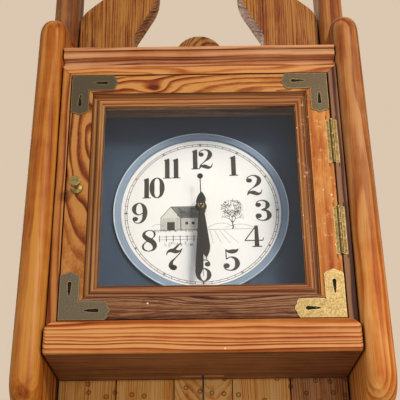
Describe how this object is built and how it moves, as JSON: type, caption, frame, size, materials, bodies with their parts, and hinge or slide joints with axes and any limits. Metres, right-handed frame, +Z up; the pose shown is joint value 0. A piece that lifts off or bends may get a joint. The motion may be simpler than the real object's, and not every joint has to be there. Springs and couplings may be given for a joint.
{
  "type": "pendulum wall clock",
  "caption": "Rustic pine wall clock: glazed square door with round dial, tall shaped side boards, plank back with horned crest and a pendulum below.",
  "frame": {"origin": "centre of the hanger hole, on the wall plane at the back of the clock", "axes": "+X to the viewer's right, +Y into the wall, +Z up"},
  "size_m": [0.4428, 0.1695, 0.9586],
  "materials": {
    "pine": "satin varnish",
    "brass": "worn satin",
    "brass_dark": "dark antique",
    "gear_brass": "satin",
    "glass": "clear",
    "steel": "zinc plated",
    "panel_blue": "matt painted board",
    "pan_grey": "satin paint",
    "dial_card": "matt print",
    "hand_black": "satin paint",
    "movement_black": "moulded",
    "gear_plastic": "moulded",
    "battery_wrap": "gloss label"
  },
  "bodies": {
    "case": {"left_side_board": "pine", "right_side_board": "pine", "back_plank_1": "pine", "back_plank_2": "pine", "back_plank_3": "pine", "back_plank_4": "pine", "back_plank_5": "pine", "case_top": "pine", "case_left_side": "pine", "case_right_side": "pine", "cornice_moulding": "pine", "case_shelf": "pine", "bottom_rail": "pine", "plank_batten": "pine", "hanger_plate": "steel", "hanger_screws": "steel", "panel_cleats": "pine", "dial_panel": "panel_blue", "panel_screws": "steel", "dial_pan": "pan_grey", "dial_face": "dial_card", "magnetic_catch": "movement_black", "upper_hinge_case_leaf": "brass", "lower_hinge_case_leaf": "brass", "upper_hinge_pin": "brass", "lower_hinge_pin": "brass", "hinge_screws_case": "brass", "movement_case": "movement_black", "movement_cover": "movement_black", "movement_nut": "brass", "battery": "battery_wrap"},
    "door": {"door_left_stile": "pine", "door_right_stile": "pine", "door_top_rail": "pine", "door_bottom_rail": "pine", "door_glass": "glass", "glass_beads_upright": "pine", "glass_beads_level": "pine", "corner_bracket_top_left": "brass_dark", "corner_bracket_top_right": "brass_dark", "corner_bracket_bottom_left": "brass_dark", "corner_bracket_bottom_right": "brass", "bracket_pins": "brass_dark", "door_knob": "brass", "knob_screw": "steel", "strike_plate": "steel", "upper_hinge_door_leaf": "brass", "lower_hinge_door_leaf": "brass", "hinge_screws_door": "brass"},
    "hour_train": {"hour_wheel": "gear_plastic", "hour_hand": "hand_black"},
    "minute_train": {"minute_wheel": "gear_brass", "minute_hand": "hand_black"},
    "second_train": {"second_wheel": "gear_brass", "second_hand": "hand_black"},
    "setting_knob": {"set_knob": "gear_plastic"},
    "pendulum": {"pendulum_hook": "brass", "pendulum_rod": "brass", "pendulum_bob": "brass", "rating_nut": "brass"}
  },
  "joints": [
    {"name": "door_swing", "type": "hinge", "parent": "case", "child": "door", "pos_m": [0.17225, -0.1463, 0], "axis": [0, 0, 1], "range_deg": [0, 110]},
    {"name": "minute_turn", "type": "hinge", "parent": "case", "child": "minute_train", "pos_m": [0, -0.09, -0.27], "axis": [0, 1, 0], "continuous": true},
    {"name": "hour_turn", "type": "hinge", "parent": "case", "child": "hour_train", "pos_m": [0, -0.09, -0.27], "axis": [0, 1, 0], "continuous": true},
    {"name": "second_turn", "type": "hinge", "parent": "case", "child": "second_train", "pos_m": [0, -0.09, -0.27], "axis": [0, 1, 0], "continuous": true},
    {"name": "set_knob_turn", "type": "hinge", "parent": "case", "child": "setting_knob", "pos_m": [0, -0.06, -0.284], "axis": [0, 1, 0], "continuous": true},
    {"name": "pendulum_swing", "type": "hinge", "parent": "case", "child": "pendulum", "pos_m": [0, -0.05, -0.254], "axis": [0, 1, 0], "range_deg": [-5, 5]}
  ],
  "couplings": [
    {"joint": "hour_turn", "follows": "minute_turn", "ratio": 0.083333},
    {"joint": "set_knob_turn", "follows": "minute_turn", "ratio": -1.5}
  ]
}
